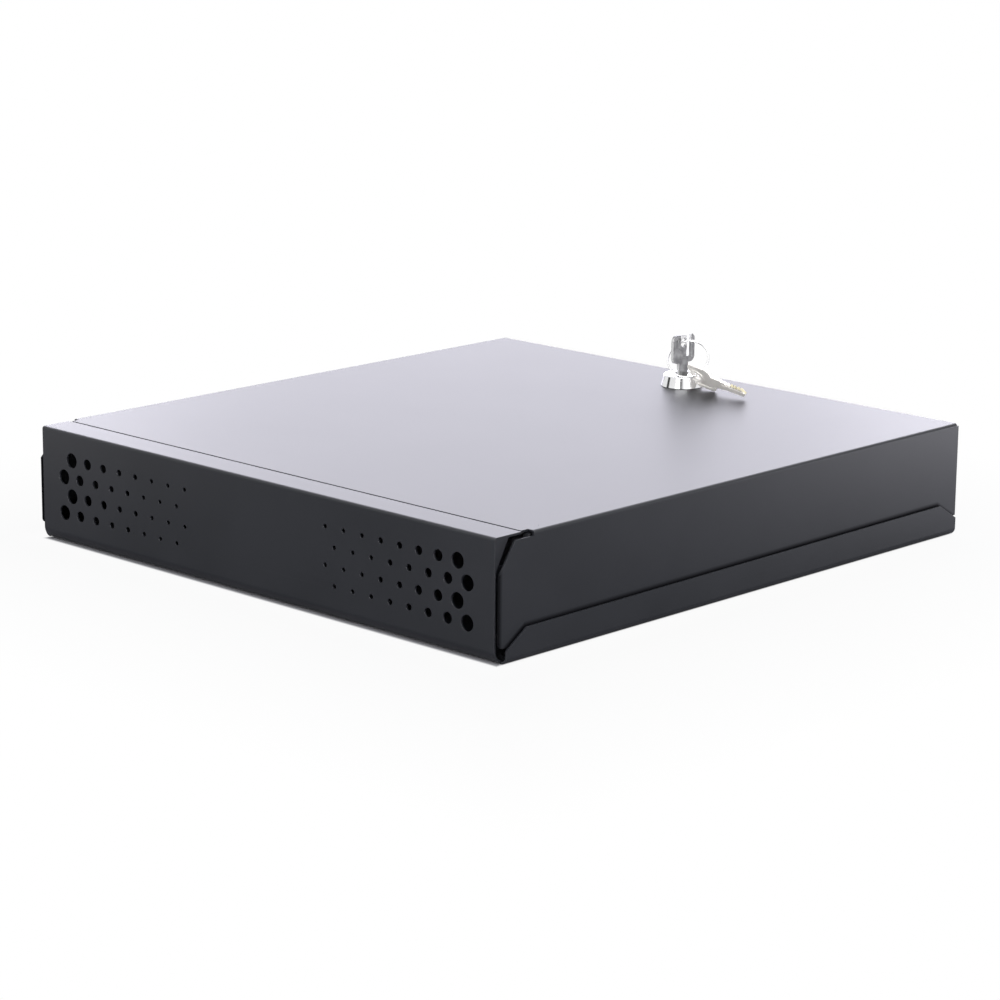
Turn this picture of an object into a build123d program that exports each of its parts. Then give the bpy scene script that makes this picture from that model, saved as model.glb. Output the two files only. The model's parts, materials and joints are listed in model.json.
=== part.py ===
from build123d import *
import os
from math import atan2, cos, hypot, radians, sin

os.makedirs("parts", exist_ok=True)

# Overall sizes: over the side flanges, over the closed lid, and to the top of the steel
overall_width = 446.0
overall_depth = 468.0
overall_height = 80.0

# Sheet steel and its folds
sheet = 1.5
tight_fold = 0.5            # inside radius of the sharp folds
tray_fold = 3.5             # inside radius along the side flanges
front_bend = 7.0            # inside radius where the front wall meets the floor

# Gaps between the tray's flanges, the lid's skirts and the front panel
flange_gap = 1.0
skirt_gap = 1.9
seam_gap = 1.5              # between the front strip and the lid
rear_gap = 1.5              # between the rear panel and the lid's rear lip
ledge_gap = 1.0             # between the rear panel's ledge and the lid

# Base tray
flange_height_front = 21.3
flange_height_rear = 23.8
flange_front_setback = 5.2
flange_rear_setback = 2.5
flange_nose_front = 9.2     # height left at the ends of a flange
flange_nose_rear = 12.4
flange_front_chamfer = 18.0
flange_rear_chamfer = 18.8
floor_setback = 14.5
bolt_spacing_x = 300.0
bolt_spacing_y = 300.0
bolt_hole_radius = 3.5

# Front panel
strip_depth = 23.5
gusset_run = 12.0
gusset_drop = 21.0
joggle_setback = 11.0
joggle_run = 3.0
return_depth = 35.0
hole_diameters = [10.5, 7.5, 6.0, 4.5, 4.0, 3.2, 3.0, 3.0]     # from the outer end inwards
hole_pitch = 16.83
hole_row_pitch = 12.7
top_row_height = 60.3
column_inset_upper = 31.4   # from the panel's end to the first and third rows' outermost holes
column_inset_lower = 23.0   # and to the second and fourth rows'
hole_rows = 4

# Lid
skirt_bottom_front = 10.5
skirt_bottom_rear = 13.4
skirt_front_setback = 0.7
wing_corner = 3.0
notch_low = (2.5, 58.9)     # the slanted notch, from the front face and from the floor
notch_high = (14.6, 76.7)
bend_relief_end = 31.0
rear_lip_height = 12.0
lip_side_gap = 0.5

# Rear panel
rear_return_depth = 25.0
ledge_depth = 20.0
tab_depth = 15.0
tab_height = 59.0
tab_bottom = 9.0
outlet_width = 60.0
outlet_height = 26.0
outlet_corner = 4.0
outlet_inset = 82.1         # from the panel's end to the outlet's centre
outlet_centre_z = 34.0
vent_count = 12
vent_pitch = 10.0
vent_width = 4.0
vent_length = 30.0
vent_centre_z = 37.0

# Grommets around the cable outlets
grommet_wall = 1.2          # thickness of each lip
grommet_overlap = 2.5
grommet_lining = 1.5

# Hinge
pin_setback = 33.0
pin_drop = 6.0
pin_radius = 2.5
pin_head_radius = 4.0
pin_head = 1.5
pin_tail = 1.0
pin_running_gap = 0.05
ear_clearance = 0.5
ear_gap = 0.3
arm_setback = 2.5           # from the skirt's inner face to the arm
bracket_leg = 14.0
bracket_bottom = 29.0
bracket_throat = 3.0
bracket_neck = (1.8, 4.0)   # in front of and behind the pin
bracket_width = 41.0
arm_leg = 14.0
arm_length = 48.0
arm_nose = 8.0
arm_tail_height = 7.0

# Rivets
rivet_radius = 2.0
rivet_head_radius = 3.4
rivet_head = 1.3
floor_rivet_inset = 67.1    # from the panels' ends
floor_rivet_count = 4
front_rivet_setback = 26.0
rear_rivet_inset = 13.0

# Cam lock
lock_inset = 41.5           # from the lid's rear face to the lock's axis
lock_head_radius = 14.0
lock_head_height = 9.0
lock_head_round = 1.6
lock_body_radius = 9.5
lock_body_flat = 8.25       # half the distance across the two flats
lock_body_length = 22.0
lock_hole_gap = 0.1
plug_radius = 7.0
plug_running_gap = 0.05
plug_recess = 0.8
washer_radius = 13.5
washer_thickness = 1.0
nut_across_flats = 25.0
nut_thickness = 4.5
tail_square = 8.0
tail_gap = 0.05
stop_thickness = 1.2
stop_radius = 9.2
stop_root_radius = 7.6
stop_lug_angle = 30.0
stop_lug_gap = 0.2          # between the lug and the washer's root
stop_slack = 2.0            # degrees left at each end of the lock's travel
lock_travel = 90.0
cam_thickness = 2.0
cam_root_radius = 9.0
cam_tip_radius = 7.0
cam_reach = 33.0
cam_screw_radius = 2.4
cam_screw_depth = 9.0
cam_screw_across_flats = 8.0
cam_screw_head = 3.5

# Strike under which the cam turns
strike_width = 64.0
strike_tongue = 22.0
strike_leg = 17.0
cam_clearance = 1.0
strike_rivet_pitch = 44.0
strike_rivet_rise = 6.0

# Bumpers on the rear ledge
bumper_radius = 6.0
bumper_inset = 67.1         # from the panel's end
bumper_gap = 0.1

# Keys and their ring
key_thickness = 2.2
keyway_gap = 0.1
key_seat = 0.1
blade_width = 8.0
blade_length = 22.5
blade_point = 3.0
neck_width = 10.0
neck_length = 8.9
bow_width = 24.0
bow_height = 21.0
bow_corner = 4.5
bow_hole_radius = 3.5
bow_hole_inset = 6.0        # from the top of the bow to the hole's centre
bow_rim = 3.0
bow_recess = 0.3
bit_depths = [1.6, 2.4, 1.2, 2.0, 1.4]
bit_pitch = 3.2
bit_start = 5.0
bit_slope = 1.3             # from the middle of a cut to its outer end
bit_flat = 0.3              # and to the end of its flat bottom
groove_width = 1.4
groove_depth = 0.5
groove_offset = 1.4
ring_wire_radius = 0.8
ring_tuck = 0.17            # the wire's radius is this much under half the way between the holes
ring_lean = 44.0
ring_slide = 0.8            # from the middle between the holes towards the first key's
ring_offset = 1.6           # and away from the side it leans to
spare_reach = 21.3          # from the lock's axis to the spare key's hole, sideways
spare_setback = 7.5         # and towards the front
spare_roll = 50.0
spare_gap = 0.2

# Places that follow from the sizes above, from the middle of the box on the floor
front = -overall_depth / 2
rear = overall_depth / 2
half_width = overall_width / 2
lid_half = half_width - sheet - flange_gap
panel_half = lid_half - sheet - skirt_gap
outlet_x = panel_half - outlet_inset
lid_under = overall_height - sheet
tight_outer = tight_fold + sheet
tray_outer = tray_fold + sheet
flange_front = front + flange_front_setback
flange_rear = rear - flange_rear_setback
lid_front = front + strip_depth + seam_gap
rear_wall = rear - sheet - rear_gap
ledge_top = lid_under - ledge_gap
pin_y = front + pin_setback
pin_z = overall_height - pin_drop
ear_radius = pin_drop - sheet - ear_clearance
arm_outer = lid_half - sheet - arm_setback
ear_outer = arm_outer - sheet - ear_gap
lock_y = rear - lock_inset
body_bottom = overall_height - lock_body_length
plug_face = overall_height + lock_head_height - plug_recess
cam_top = body_bottom - stop_thickness
strike_bottom = cam_top + cam_clearance
strike_rivet_z = strike_bottom + strike_rivet_rise
key_shoulder = plug_face + key_seat


def side_plane(x):
    return Plane.YZ.offset(x)


def cross_plane(y):
    return Plane.XZ.offset(-y)


def level(z):
    return Plane.XY.offset(z)


def fold(plane, corners, radii, run):
    """A folded sheet along the plane's normal. Its outer face follows the corners."""
    with BuildSketch(plane) as profile:
        with BuildLine():
            FilletPolyline(*corners, radius=radii)
            offset(amount=sheet, side=Side.LEFT)
        make_face()
    extrude(profile.sketch, amount=run)


def trim_to(plane, corners):
    """Keep only what lies inside an outline, seen along the plane's normal."""
    with BuildSketch(plane) as outline:
        with BuildLine():
            Polyline(*corners, close=True)
        make_face()
    extrude(outline.sketch, amount=overall_width, both=True, mode=Mode.INTERSECT)


def floor_rivet_places(y):
    end = panel_half - floor_rivet_inset
    pitch = 2 * end / (floor_rivet_count - 1)
    return [(i * pitch - end, y) for i in range(floor_rivet_count)]


front_rivet_places = floor_rivet_places(front + front_rivet_setback)
rear_rivet_places = floor_rivet_places(rear_wall - rear_rivet_inset)
strike_rivet_places = [(-strike_rivet_pitch / 2, strike_rivet_z), (strike_rivet_pitch / 2, strike_rivet_z)]

# Base tray: the floor and its side flanges, a little higher at the rear, folded from one sheet
with BuildPart() as base_tray:
    fold(
        cross_plane(flange_rear),
        [
            (-half_width, flange_height_rear),
            (-half_width, 0),
            (half_width, 0),
            (half_width, flange_height_rear),
        ],
        tray_outer,
        flange_rear - flange_front,
    )
    trim_to(
        side_plane(0),
        [
            (flange_front, 0),
            (flange_rear, 0),
            (flange_rear, flange_nose_rear),
            (flange_rear - flange_rear_chamfer, flange_height_rear),
            (flange_front + flange_front_chamfer, flange_height_front),
            (flange_front, flange_nose_front),
        ],
    )
    with BuildSketch(level(0)):
        with Locations((0, (flange_front + front + floor_setback) / 2)):
            Rectangle(overall_width - 2 * tray_outer, floor_setback - flange_front_setback)
        with GridLocations(bolt_spacing_x, bolt_spacing_y, 2, 2):
            Circle(bolt_hole_radius)
        with Locations(*front_rivet_places, *rear_rivet_places):
            Circle(rivet_radius)
    extrude(amount=sheet, mode=Mode.SUBTRACT)

# Front panel: strip, wall, wide bend and a return that steps up on to the floor
with BuildPart() as front_panel:
    fold(
        side_plane(-panel_half),
        [
            (front + strip_depth, overall_height),
            (front, overall_height),
            (front, 0),
            (front + joggle_setback, 0),
            (front + joggle_setback + joggle_run, sheet),
            (front + return_depth, sheet),
        ],
        [tight_outer, front_bend + sheet, tight_outer, tight_fold],
        2 * panel_half,
    )
    with BuildSketch(side_plane(panel_half - sheet)):
        with BuildLine():
            Polyline(
                (front + sheet, lid_under),
                (front + gusset_run, lid_under),
                (front + sheet, overall_height - gusset_drop),
                close=True,
            )
        make_face()
    gusset = extrude(amount=sheet)
    mirror(gusset, about=Plane.YZ)
    with BuildSketch(cross_plane(front)):
        for row in range(hole_rows):
            outermost = panel_half - (column_inset_lower if row % 2 else column_inset_upper)
            for column, diameter in enumerate(hole_diameters):
                x = outermost - column * hole_pitch
                with Locations((x, top_row_height - row * hole_row_pitch)):
                    Circle(diameter / 2)
                with Locations((-x, top_row_height - row * hole_row_pitch)):
                    Circle(diameter / 2)
    extrude(amount=-sheet, mode=Mode.SUBTRACT)
    with BuildSketch(level(sheet)):
        with Locations(*front_rivet_places):
            Circle(rivet_radius)
    extrude(amount=sheet, mode=Mode.SUBTRACT)

# Lid shell: top plate, side skirts that taper to the rear, their forward wings, and a rear lip
with BuildPart() as lid_shell:
    fold(
        cross_plane(rear),
        [
            (lid_half, skirt_bottom_front),
            (lid_half, overall_height),
            (-lid_half, overall_height),
            (-lid_half, skirt_bottom_front),
        ],
        tight_outer,
        overall_depth,
    )
    trim_to(
        side_plane(0),
        [
            (front + skirt_front_setback, skirt_bottom_front),
            (rear, skirt_bottom_rear),
            (rear, lid_under - tight_fold),
            (rear - tight_outer, lid_under - tight_fold),
            (rear - tight_outer, overall_height),
            (lid_front, overall_height),
            (lid_front, notch_high[1]),
            (front + notch_high[0], notch_high[1]),
            (front + notch_low[0], notch_low[1]),
            (front + skirt_front_setback, notch_low[1] - (notch_low[0] - skirt_front_setback)),
        ],
    )
    with BuildSketch(level(notch_high[1])):
        relief_width = sheet + skirt_gap + tight_outer
        relief_middle = (lid_front + front + bend_relief_end) / 2
        for side in (-1, 1):
            with Locations((side * (lid_half - relief_width / 2), relief_middle)):
                Rectangle(relief_width, front + bend_relief_end - lid_front)
    extrude(amount=overall_height - notch_high[1], mode=Mode.SUBTRACT)
    lip_half = lid_half - sheet - lip_side_gap
    fold(
        side_plane(-lip_half),
        [
            (rear, overall_height - rear_lip_height),
            (rear, overall_height),
            (rear - 2 * tight_outer, overall_height),
        ],
        tight_outer,
        2 * lip_half,
    )
    wing_edges = lid_shell.edges().filter_by(Axis.X).group_by(Axis.Z)[0].group_by(Axis.Y)[0]
    fillet(wing_edges, radius=wing_corner)
    with BuildSketch(level(lid_under)):
        with Locations((0, lock_y)):
            Circle(lock_body_radius + lock_hole_gap)
            Rectangle(
                2 * (lock_body_flat + lock_hole_gap),
                2 * (lock_body_radius + sheet),
                mode=Mode.INTERSECT,
            )
    extrude(amount=sheet, mode=Mode.SUBTRACT)


def outlets():
    """The outline of both cable outlets, in the current sketch."""
    with Locations((-outlet_x, outlet_centre_z), (outlet_x, outlet_centre_z)):
        RectangleRounded(outlet_width, outlet_height, outlet_corner)


# Rear panel: wall with cable outlets and vents, a return on the floor and a ledge under the lid
with BuildPart() as rear_panel:
    fold(
        side_plane(-panel_half),
        [
            (rear_wall - rear_return_depth, sheet),
            (rear_wall, sheet),
            (rear_wall, ledge_top),
            (rear_wall - ledge_depth, ledge_top),
        ],
        tight_outer,
        2 * panel_half,
    )
    with BuildSketch(side_plane(panel_half - sheet)):
        with Locations((rear_wall - sheet - tab_depth / 2, tab_bottom + tab_height / 2)):
            Rectangle(tab_depth, tab_height)
    tab = extrude(amount=sheet)
    mirror(tab, about=Plane.YZ)
    with BuildSketch(cross_plane(rear_wall)):
        outlets()
        with Locations((0, vent_centre_z)):
            with GridLocations(vent_pitch, 0, vent_count, 1):
                SlotOverall(vent_length, vent_width, rotation=90)
        with Locations(*strike_rivet_places):
            Circle(rivet_radius)
    extrude(amount=sheet, mode=Mode.SUBTRACT)
    with BuildSketch(level(sheet)):
        with Locations(*rear_rivet_places):
            Circle(rivet_radius)
    extrude(amount=sheet, mode=Mode.SUBTRACT)


def cable_grommet(x):
    """A rubber channel that lines one outlet and grips the sheet on both faces."""
    with BuildPart() as grommet:
        with BuildSketch(cross_plane(rear_wall + grommet_wall)):
            with Locations((x, outlet_centre_z)):
                RectangleRounded(
                    outlet_width + 2 * grommet_overlap,
                    outlet_height + 2 * grommet_overlap,
                    outlet_corner + grommet_overlap,
                )
                RectangleRounded(
                    outlet_width - 2 * grommet_lining,
                    outlet_height - 2 * grommet_lining,
                    outlet_corner - grommet_lining,
                    mode=Mode.SUBTRACT,
                )
        extrude(amount=sheet + 2 * grommet_wall)
        with BuildSketch(cross_plane(rear_wall)):
            with Locations((x, outlet_centre_z)):
                Rectangle(2 * outlet_width, 2 * outlet_height)
                RectangleRounded(outlet_width, outlet_height, outlet_corner, mode=Mode.SUBTRACT)
        extrude(amount=sheet, mode=Mode.SUBTRACT)
    return grommet


cable_grommet_left = cable_grommet(-outlet_x)
cable_grommet_right = cable_grommet(outlet_x)

# Hinge brackets: angles welded behind the front wall, their ears reaching back below the lid's nose
bracket_top = pin_z - hypot(pin_y - lid_front, pin_drop) - bracket_throat
with BuildPart() as hinge_bracket_right:
    fold(
        level(bracket_bottom),
        [
            (ear_outer - bracket_leg, front + sheet),
            (ear_outer, front + sheet),
            (ear_outer, front + bracket_width),
        ],
        tight_outer,
        pin_z + ear_radius - bracket_bottom,
    )
    with BuildSketch(side_plane(0)):
        with BuildLine():
            Polyline(
                (front, bracket_bottom),
                (front + bracket_leg, bracket_bottom),
                (front + bracket_width, bracket_top - bracket_throat),
                (pin_y + bracket_neck[1], pin_z),
                (pin_y - bracket_neck[0], pin_z),
                (pin_y - bracket_neck[0], bracket_top),
                (front, bracket_top),
                close=True,
            )
        make_face()
        with Locations((pin_y, pin_z)):
            Circle(ear_radius)
            Circle(pin_radius, mode=Mode.SUBTRACT)
    extrude(amount=overall_width, both=True, mode=Mode.INTERSECT)

with BuildPart() as hinge_bracket_left:
    mirror(hinge_bracket_right.part, about=Plane.YZ)

# Hinge arms: angles welded under the lid, each with an ear beside a bracket's
with BuildPart() as hinge_arm_right:
    fold(
        cross_plane(pin_y + arm_length),
        [(arm_outer, pin_z - ear_radius), (arm_outer, lid_under), (arm_outer - arm_leg, lid_under)],
        tight_outer,
        arm_length + ear_radius,
    )
    with BuildSketch(side_plane(0)):
        with BuildLine():
            Polyline(
                (pin_y, pin_z - ear_radius),
                (pin_y + arm_nose, pin_z - ear_radius),
                (pin_y + arm_length, lid_under - arm_tail_height),
                (pin_y + arm_length, lid_under),
                (pin_y + arm_nose, lid_under),
                (pin_y, pin_z + ear_radius),
                close=True,
            )
        make_face()
        with Locations((pin_y, pin_z)):
            Circle(ear_radius)
            Circle(pin_radius + pin_running_gap, mode=Mode.SUBTRACT)
    extrude(amount=overall_width, both=True, mode=Mode.INTERSECT)
    with BuildSketch(level(pin_z - ear_radius)):
        with Locations((arm_outer - sheet - arm_leg / 2, pin_y)):
            Rectangle(arm_leg, 2 * arm_nose)
    extrude(amount=2 * ear_radius + pin_drop, mode=Mode.SUBTRACT)

with BuildPart() as hinge_arm_left:
    mirror(hinge_arm_right.part, about=Plane.YZ)

# Hinge pins: shouldered rivets through each ear and arm
with BuildPart() as hinge_pin_right:
    with BuildSketch(side_plane(ear_outer - sheet - pin_head)):
        with Locations((pin_y, pin_z)):
            Circle(pin_head_radius)
    extrude(amount=pin_head)
    with BuildSketch(side_plane(ear_outer - sheet)):
        with Locations((pin_y, pin_z)):
            Circle(pin_radius)
    extrude(amount=arm_outer - ear_outer + sheet)
    with BuildSketch(side_plane(arm_outer)):
        with Locations((pin_y, pin_z)):
            Circle(pin_head_radius)
    extrude(amount=pin_tail)

with BuildPart() as hinge_pin_left:
    mirror(hinge_pin_right.part, about=Plane.YZ)


def domed_head(plane, places):
    """Low round rivet heads that stand on the plane."""
    sphere = (rivet_head_radius**2 + rivet_head**2) / (2 * rivet_head)
    with BuildPart(mode=Mode.PRIVATE) as head:
        with BuildSketch(Plane.XZ):
            with BuildLine():
                Line((0, 0), (rivet_head_radius, 0))
                RadiusArc((rivet_head_radius, 0), (0, rivet_head), -sphere)
                Line((0, rivet_head), (0, 0))
            make_face()
        revolve(axis=Axis.Z)
    for place in places:
        add(plane.location * Pos(*place, 0) * head.part)


def floor_rivets(places):
    """Rivets flush under the floor, with a round head on the return above it."""
    with BuildPart() as rivets:
        with BuildSketch(level(0)):
            with Locations(*places):
                Circle(rivet_radius)
        extrude(amount=2 * sheet)
        domed_head(level(2 * sheet), places)
    return rivets


front_rivets = floor_rivets(front_rivet_places)
rear_rivets = floor_rivets(rear_rivet_places)

# Strike: an angle on the rear wall whose tongue lies above the cam
with BuildPart() as lock_strike:
    fold(
        side_plane(-strike_width / 2),
        [
            (rear_wall - sheet - strike_tongue, strike_bottom),
            (rear_wall - sheet, strike_bottom),
            (rear_wall - sheet, strike_bottom + strike_leg),
        ],
        tight_outer,
        strike_width,
    )
    with BuildSketch(cross_plane(rear_wall - sheet)):
        with Locations(*strike_rivet_places):
            Circle(rivet_radius)
    extrude(amount=sheet, mode=Mode.SUBTRACT)

with BuildPart() as strike_rivets:
    with BuildSketch(cross_plane(rear_wall)):
        with Locations(*strike_rivet_places):
            Circle(rivet_radius)
    extrude(amount=2 * sheet)
    domed_head(cross_plane(rear_wall - 2 * sheet), strike_rivet_places)
    domed_head(Plane(origin=(0, rear_wall, 0), x_dir=(-1, 0, 0), z_dir=(0, 1, 0)), strike_rivet_places)

# Bumpers: rubber discs on the rear ledge that carry the closed lid
with BuildPart() as lid_bumpers:
    with BuildSketch(level(ledge_top)):
        with Locations((0, rear_wall - ledge_depth / 2)):
            with GridLocations(2 * (panel_half - bumper_inset), 0, 2, 1):
                Circle(bumper_radius)
    extrude(amount=ledge_gap - bumper_gap)


def lock_sector(inner, outer, start, extent):
    """A piece of a ring around the lock's axis, in the current sketch, angles in degrees."""
    with BuildLine() as edge:
        low = CenterArc((0, lock_y), inner, start, extent)
        high = CenterArc((0, lock_y), outer, start, extent)
        Line(low @ 0, high @ 0)
        Line(low @ 1, high @ 1)
    make_face(edge.edges())


# Cam lock: housing with its raised head, two flats along the body and a stop lug below
with BuildPart() as lock_housing:
    with BuildSketch(level(overall_height)):
        with Locations((0, lock_y)):
            Circle(lock_head_radius)
    extrude(amount=lock_head_height)
    fillet(lock_housing.edges().filter_by(GeomType.CIRCLE).group_by(Axis.Z)[-1], radius=lock_head_round)
    with BuildSketch(level(overall_height)):
        with Locations((0, lock_y)):
            Circle(lock_body_radius)
            Rectangle(2 * lock_body_flat, 2 * lock_head_radius, mode=Mode.INTERSECT)
    extrude(amount=-lock_body_length)
    with BuildSketch(level(body_bottom)):
        with Locations((0, lock_y)):
            Circle(plug_radius + plug_running_gap)
    extrude(amount=lock_body_length + lock_head_height, mode=Mode.SUBTRACT)
    with BuildSketch(level(body_bottom)):
        lock_sector(stop_root_radius + stop_lug_gap, stop_radius, 270 - stop_lug_angle / 2, stop_lug_angle)
    extrude(amount=-stop_thickness)

with BuildPart() as lock_washer:
    with BuildSketch(level(lid_under - washer_thickness)):
        with Locations((0, lock_y)):
            Circle(washer_radius)
            Circle(lock_body_radius + lock_hole_gap, mode=Mode.SUBTRACT)
    extrude(amount=washer_thickness)

with BuildPart() as lock_nut:
    with BuildSketch(level(lid_under - washer_thickness - nut_thickness)):
        with Locations((0, lock_y)):
            RegularPolygon(nut_across_flats / 2, 6, major_radius=False)
            Circle(lock_body_radius + lock_hole_gap, mode=Mode.SUBTRACT)
    extrude(amount=nut_thickness)

# Plug: turns in the housing and carries the cam on a square tail
with BuildPart() as lock_plug:
    with BuildSketch(level(body_bottom)):
        with Locations((0, lock_y)):
            Circle(plug_radius)
    extrude(amount=plug_face - body_bottom)
    with BuildSketch(level(body_bottom)):
        with Locations((0, lock_y)):
            Rectangle(tail_square, tail_square)
    extrude(amount=-(stop_thickness + cam_thickness))
    with BuildSketch(level(plug_face)):
        with Locations((0, lock_y)):
            Rectangle(key_thickness + 2 * keyway_gap, blade_width + 2 * keyway_gap)
    extrude(amount=-(blade_length + key_thickness), mode=Mode.SUBTRACT)
    with BuildSketch(level(cam_top - cam_thickness)):
        with Locations((0, lock_y)):
            Circle(cam_screw_radius)
    extrude(amount=cam_screw_depth - cam_thickness, mode=Mode.SUBTRACT)

with BuildPart() as stop_washer:
    with BuildSketch(level(cam_top)):
        with Locations((0, lock_y)):
            Circle(stop_radius)
            Rectangle(tail_square + 2 * tail_gap, tail_square + 2 * tail_gap, mode=Mode.SUBTRACT)
    extrude(amount=stop_thickness)
    with BuildSketch(level(cam_top)):
        notch_start = 270 - stop_lug_angle / 2 - stop_slack - lock_travel
        notch_extent = stop_lug_angle + lock_travel + 2 * stop_slack
        lock_sector(stop_root_radius, 2 * stop_radius, notch_start, notch_extent)
    extrude(amount=stop_thickness, mode=Mode.SUBTRACT)

# Cam: unlocked it points to the side, locked it lies under the strike
with BuildPart() as lock_cam:
    with BuildSketch(level(cam_top - cam_thickness)):
        with Locations((0, lock_y)):
            Circle(cam_root_radius)
        with Locations((cam_reach - cam_tip_radius, lock_y)):
            Circle(cam_tip_radius)
        make_hull()
        with Locations((0, lock_y)):
            Rectangle(tail_square + 2 * tail_gap, tail_square + 2 * tail_gap, mode=Mode.SUBTRACT)
    extrude(amount=cam_thickness)

with BuildPart() as cam_screw:
    with BuildSketch(level(cam_top - cam_thickness)):
        with Locations((0, lock_y)):
            RegularPolygon(cam_screw_across_flats / 2, 6, major_radius=False)
    extrude(amount=-cam_screw_head)
    with BuildSketch(level(cam_top - cam_thickness)):
        with Locations((0, lock_y)):
            Circle(cam_screw_radius)
    extrude(amount=cam_screw_depth - cam_thickness)

bow_centre = neck_length + bow_height / 2
bow_hole = neck_length + bow_height - bow_hole_inset


def key_blank(plane):
    """A flat key in the plane: shoulder at its origin, bow up its Y axis, blade down it."""
    with BuildPart() as blank:
        with BuildSketch(plane):
            with Locations((0, bow_centre)):
                RectangleRounded(bow_width, bow_height, bow_corner)
            with Locations((0, neck_length / 2)):
                Rectangle(neck_width, neck_length + bow_rim)
            with Locations((0, -bow_rim)):
                Rectangle(neck_width + bow_rim, 2 * bow_rim, mode=Mode.SUBTRACT)
            with BuildLine():
                Polyline(
                    (-blade_width / 2, 0),
                    (-blade_width / 2, blade_point - blade_length),
                    (0, -blade_length),
                    (blade_width / 2, blade_point - blade_length),
                    (blade_width / 2, 0),
                    close=True,
                )
            make_face()
            with Locations((0, bow_hole)):
                Circle(bow_hole_radius, mode=Mode.SUBTRACT)
            for index, depth in enumerate(bit_depths):
                at = -bit_start - index * bit_pitch
                with BuildLine():
                    Polyline(
                        (-blade_width / 2, at + bit_slope),
                        (depth - blade_width / 2, at + bit_flat),
                        (depth - blade_width / 2, at - bit_flat),
                        (-blade_width / 2, at - bit_slope),
                        close=True,
                    )
                make_face(mode=Mode.SUBTRACT)
        extrude(amount=key_thickness / 2, both=True)
        for face in (1, -1):
            with BuildSketch(plane.offset(face * key_thickness / 2)):
                with Locations((0, bow_centre)):
                    RectangleRounded(bow_width - 2 * bow_rim, bow_height - 2 * bow_rim, bow_corner - bow_rim)
                with Locations((0, bow_hole)):
                    Circle(bow_hole_radius + bow_rim, mode=Mode.SUBTRACT)
            extrude(amount=-face * bow_recess, mode=Mode.SUBTRACT)
            with BuildSketch(plane.offset(face * key_thickness / 2)):
                with Locations((face * groove_offset, -blade_length / 2)):
                    Rectangle(groove_width, blade_length)
            extrude(amount=-face * groove_depth, mode=Mode.SUBTRACT)
    return blank


key = key_blank(Plane(origin=(0, lock_y, key_shoulder), x_dir=(0, 1, 0), z_dir=(1, 0, 0)))

# The spare key lies on the lid on the edge of its bow, with its blade sloping down to the tip
roll = radians(spare_roll)
slope = atan2((bow_width - blade_width) / 2 * sin(roll), bow_centre + blade_length)
spare_along = Vector(cos(slope), 0, -sin(slope))
spare_across = Vector(-sin(roll) * sin(slope), cos(roll), -sin(roll) * cos(slope))
bow_reach_down = (
    (bow_width / 2 - bow_corner) * sin(roll) * cos(slope)
    + (bow_height / 2 - bow_corner) * sin(slope)
    + bow_corner * hypot(sin(roll) * cos(slope), sin(slope))
    + key_thickness / 2 * cos(roll) * cos(slope)
    + (bow_hole - bow_centre) * sin(slope)
)
spare_hole = Vector(spare_reach, lock_y - spare_setback, overall_height + spare_gap + bow_reach_down)
spare_key = key_blank(
    Plane(
        origin=spare_hole + spare_along * bow_hole,
        x_dir=spare_across,
        z_dir=spare_along.cross(spare_across),
    )
)

# The ring passes through both bows and leans around the front edge of the first
key_hole = Vector(0, lock_y, key_shoulder + bow_hole)
ring_down = (spare_hole - key_hole).normalized()
ring_level = (Vector(0, 1, 0) - ring_down * ring_down.Y).normalized()
ring_up = ring_level.cross(ring_down)
ring_across = ring_up * -cos(radians(ring_lean)) + ring_level * sin(radians(ring_lean))
ring_radius = (spare_hole - key_hole).length / 2 - ring_tuck
ring_centre = (key_hole + spare_hole) / 2 - ring_down * ring_slide - ring_across * ring_offset
with BuildPart(Plane(origin=ring_centre, x_dir=ring_down, z_dir=ring_down.cross(ring_across))) as key_ring:
    Torus(ring_radius, ring_wire_radius)

pieces = {
    "base_tray": base_tray,
    "front_panel": front_panel,
    "rear_panel": rear_panel,
    "cable_grommet_left": cable_grommet_left,
    "cable_grommet_right": cable_grommet_right,
    "hinge_bracket_left": hinge_bracket_left,
    "hinge_bracket_right": hinge_bracket_right,
    "hinge_pin_left": hinge_pin_left,
    "hinge_pin_right": hinge_pin_right,
    "front_rivets": front_rivets,
    "rear_rivets": rear_rivets,
    "lock_strike": lock_strike,
    "strike_rivets": strike_rivets,
    "lid_bumpers": lid_bumpers,
    "lid_shell": lid_shell,
    "hinge_arm_left": hinge_arm_left,
    "hinge_arm_right": hinge_arm_right,
    "lock_housing": lock_housing,
    "lock_washer": lock_washer,
    "lock_nut": lock_nut,
    "lock_plug": lock_plug,
    "stop_washer": stop_washer,
    "lock_cam": lock_cam,
    "cam_screw": cam_screw,
    "key": key,
    "key_ring": key_ring,
    "spare_key": spare_key,
}
for name, piece in pieces.items():
    piece.part.label = name
    export_step(piece.part, f"parts/{name}.step")
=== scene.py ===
import json
import math

import bmesh
import bpy
import numpy
from mathutils import Matrix, Vector


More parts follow.
